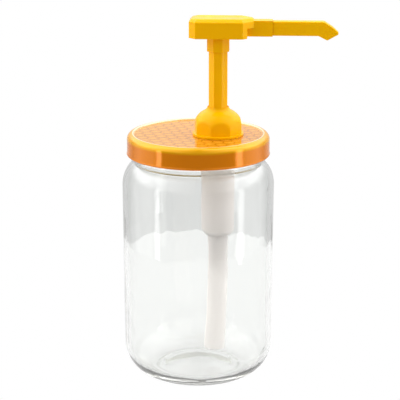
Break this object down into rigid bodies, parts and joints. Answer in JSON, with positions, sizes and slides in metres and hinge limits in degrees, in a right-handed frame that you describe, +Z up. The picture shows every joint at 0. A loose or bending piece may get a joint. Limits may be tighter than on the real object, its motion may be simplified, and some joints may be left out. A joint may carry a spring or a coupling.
{
  "type": "honey dispenser",
  "caption": "Clear glass jar with an orange twist-off metal lid and a yellow push pump: pressing the head lifts honey up a dip tube and out of a side spout.",
  "frame": {"origin": "centre of the ring that the jar stands on", "axes": "+Z up along the jar's axis, +X towards the spout, which stands over +X at rest"},
  "size_m": [0.1269, 0.0898, 0.2163],
  "materials": {
    "jar_glass": "clear, fire-polished",
    "liner_compound": "matte",
    "lid_lacquer": "gloss lacquer",
    "gasket_rubber": "matte",
    "milky_plastic": "translucent, satin",
    "yellow_plastic": "moulded, glossy",
    "white_plastic": "moulded, satin",
    "seal_plastic": "soft, satin",
    "spring_steel": "drawn wire",
    "ball_steel": "polished"
  },
  "bodies": {
    "jar": {"glass_jar": "jar_glass"},
    "lid_seal": {"lid_liner": "liner_compound"},
    "lid": {"lid_shell": "lid_lacquer", "lid_gasket": "gasket_rubber", "pump_cylinder": "milky_plastic", "dome_nut": "yellow_plastic", "stem_guide": "white_plastic", "ball_cage": "white_plastic", "return_spring": "spring_steel", "dip_tube": "milky_plastic"},
    "inlet_valve": {"inlet_ball": "ball_steel"},
    "piston": {"piston_seal": "seal_plastic", "spring_washer": "spring_steel"},
    "head": {"piston_core": "white_plastic", "stem": "yellow_plastic", "pump_head": "yellow_plastic", "spout_nozzle": "yellow_plastic"},
    "outlet_valve": {"outlet_ball": "ball_steel"}
  },
  "joints": [
    {"name": "lid_lift", "type": "slide", "parent": "jar", "child": "lid_seal", "axis": [0, 0, 1], "range_m": [0, 0.15]},
    {"name": "lid_twist", "type": "hinge", "parent": "lid_seal", "child": "lid", "pos_m": [0, 0, 0.1458], "axis": [0, 0, 1], "range_deg": [-30, 0]},
    {"name": "inlet_ball_lift", "type": "slide", "parent": "lid", "child": "inlet_valve", "axis": [0, 0, 1], "range_m": [0, 0.002]},
    {"name": "pump_stroke", "type": "slide", "parent": "lid", "child": "piston", "axis": [0, 0, -1], "range_m": [0, 0.032], "stiffness_N_per_m": 180, "springref_m": -0.012, "deforming": ["return_spring"]},
    {"name": "head_swivel", "type": "hinge", "parent": "piston", "child": "head", "pos_m": [0.0116, 0, 0.2046], "axis": [0, 0, 1], "continuous": true},
    {"name": "outlet_ball_lift", "type": "slide", "parent": "head", "child": "outlet_valve", "axis": [0, 0, 1], "range_m": [0, 0.002]}
  ]
}
